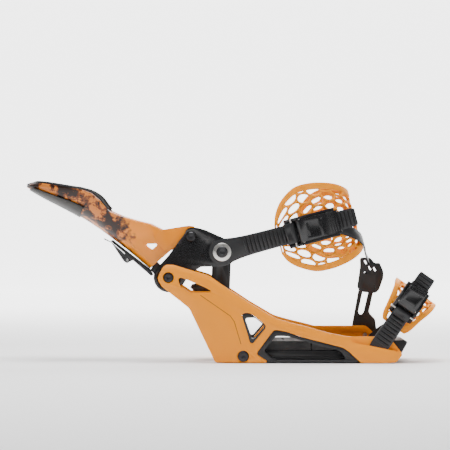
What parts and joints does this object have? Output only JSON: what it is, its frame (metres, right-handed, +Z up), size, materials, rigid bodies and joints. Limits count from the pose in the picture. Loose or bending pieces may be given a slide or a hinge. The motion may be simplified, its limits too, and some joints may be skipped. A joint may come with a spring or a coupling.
{
  "type": "snowboard binding",
  "caption": "Rear-entry step-in snowboard binding, open: orange side rails, black heel yoke, tipped-back highback, ankle and toe straps with ratchet buckles.",
  "frame": {"origin": "middle of the mounting disc on its bottom face, which lies on the board", "axes": "+X towards the toe, +Z up out of the board, -Y towards the side with the ratchet buckles"},
  "size_m": [0.5213, 0.144, 0.2289],
  "materials": {
    "orange_plastic": "semi-matte moulded",
    "amber_plastic": "satin translucent, mottled",
    "smoke_plastic": "satin translucent",
    "black_plastic": "satin moulded",
    "black_foam": "matte moulded foam rubber",
    "lattice_foam": "soft moulded lattice",
    "steel": "satin",
    "dark_steel": "black coated"
  },
  "bodies": {
    "base": {"side_rail_outer": "orange_plastic", "side_rail_inner": "orange_plastic", "sill_frame_outer": "black_plastic", "sill_frame_inner": "black_plastic", "window_insert_outer": "black_plastic", "window_insert_inner": "black_plastic", "rail_bolt_outer": "steel", "rail_bolt_inner": "steel", "pivot_bolt_outer": "dark_steel", "pivot_bolt_inner": "dark_steel", "base_tray": "black_plastic", "footbed_heel_pad": "black_foam", "footbed_toe_pad": "black_foam", "base_gasket": "black_foam", "hanger_bolt": "steel", "toe_bolt_outer": "steel", "toe_bolt_inner": "steel"},
    "disc": {"mounting_disc": "black_plastic", "disc_screw_1": "steel", "disc_screw_2": "steel", "disc_screw_3": "steel", "disc_screw_4": "steel"},
    "toe_ramp_body": {"toe_ramp": "black_plastic"},
    "yoke": {"heel_yoke": "black_plastic", "pivot_bush_outer": "steel", "pivot_bush_inner": "steel", "open_spring_outer": "steel", "open_spring_inner": "steel", "highback_bolt_outer": "dark_steel", "highback_bolt_inner": "dark_steel", "strap_bolt": "dark_steel", "strap_washer": "steel", "pedal_bolt_inner": "dark_steel"},
    "pedal": {"pedal_stirrup": "black_plastic", "pedal_tread": "black_foam"},
    "highback": {"highback_shell": "amber_plastic", "highback_pad": "black_foam", "highback_panel": "smoke_plastic", "spine_plate": "black_plastic", "lean_block": "black_plastic", "release_pin": "steel"},
    "release": {"release_lever": "black_plastic"},
    "ankle_strap": {"ankle_ladder": "black_plastic", "ankle_pad": "lattice_foam", "ankle_band": "black_plastic", "ankle_connector": "black_plastic", "ankle_buckle_tray": "black_plastic", "ankle_lever_pin": "steel", "ankle_release_pin": "steel"},
    "ankle_lever": {"ankle_buckle_lever": "black_plastic"},
    "ankle_tab": {"ankle_buckle_release": "black_plastic"},
    "hanger": {"ankle_hanger": "black_plastic"},
    "toe_strap": {"toe_ladder": "black_plastic", "toe_pad": "lattice_foam", "toe_band": "black_plastic", "toe_buckle_tray": "black_plastic", "toe_lever_pin": "steel", "toe_release_pin": "steel"},
    "toe_lever": {"toe_buckle_lever": "black_plastic"},
    "toe_tab": {"toe_buckle_release": "black_plastic"}
  },
  "joints": [
    {"name": "yoke_hinge", "type": "hinge", "parent": "base", "child": "yoke", "pos_m": [-0.1746, 0, 0.1071], "axis": [0, 1, 0], "range_deg": [0, 62]},
    {"name": "pedal_hinge", "type": "hinge", "parent": "yoke", "child": "pedal", "pos_m": [-0.1075, 0, 0.1389], "axis": [0, 1, 0], "range_deg": [-62, 0]},
    {"name": "highback_lean", "type": "hinge", "parent": "yoke", "child": "highback", "pos_m": [-0.1466, 0, 0.1583], "axis": [0, 1, 0], "range_deg": [0, 15]},
    {"name": "release_lever_hinge", "type": "hinge", "parent": "highback", "child": "release", "pos_m": [-0.2279, 0, 0.1283], "axis": [0, -1, 0], "range_deg": [0, 35], "stiffness_Nm_per_rad": 0.15},
    {"name": "ankle_strap_hinge", "type": "hinge", "parent": "yoke", "child": "ankle_strap", "pos_m": [-0.1075, 0, 0.1389], "axis": [0, 1, 0], "range_deg": [-84.6, 0]},
    {"name": "ankle_lever_hinge", "type": "hinge", "parent": "ankle_strap", "child": "ankle_lever", "pos_m": [-0.00782, -0.0598, 0.16561], "axis": [0.2588, 0, -0.9659], "range_deg": [0, 60], "stiffness_Nm_per_rad": 0.1},
    {"name": "ankle_release_hinge", "type": "hinge", "parent": "ankle_strap", "child": "ankle_tab", "pos_m": [-0.01786, -0.058, 0.16292], "axis": [-0.2588, 0, 0.9659], "range_deg": [0, 18], "stiffness_Nm_per_rad": 0.1},
    {"name": "hanger_hinge", "type": "hinge", "parent": "base", "child": "hanger", "pos_m": [0.078, 0.07, 0.03], "axis": [0, 1, 0], "range_deg": [-7.1, 0]},
    {"name": "toe_strap_hinge", "type": "hinge", "parent": "base", "child": "toe_strap", "pos_m": [0.0835, 0, 0.014], "axis": [0, 1, 0], "range_deg": [-20, 4]},
    {"name": "toe_lever_hinge", "type": "hinge", "parent": "toe_strap", "child": "toe_lever", "pos_m": [0.12388, -0.0638, 0.07167], "axis": [0.8192, 0, -0.5736], "range_deg": [0, 55], "stiffness_Nm_per_rad": 0.1},
    {"name": "toe_release_hinge", "type": "hinge", "parent": "toe_strap", "child": "toe_tab", "pos_m": [0.11837, -0.0624, 0.0638], "axis": [-0.8192, 0, 0.5736], "range_deg": [0, 18], "stiffness_Nm_per_rad": 0.1},
    {"name": "toe_ramp_slide", "type": "slide", "parent": "base", "child": "toe_ramp_body", "axis": [1, 0, 0], "range_m": [0, 0.01]},
    {"name": "disc_turn", "type": "hinge", "parent": "base", "child": "disc", "pos_m": [0, 0, 0.004], "axis": [0, 0, 1], "range_deg": [-45, 45]}
  ],
  "couplings": [
    {"joint": "pedal_hinge", "follows": "yoke_hinge", "ratio": -1},
    {"joint": "ankle_strap_hinge", "follows": "yoke_hinge", "ratio": -1.3637},
    {"joint": "hanger_hinge", "follows": "yoke_hinge", "ratio": -0.1135}
  ]
}
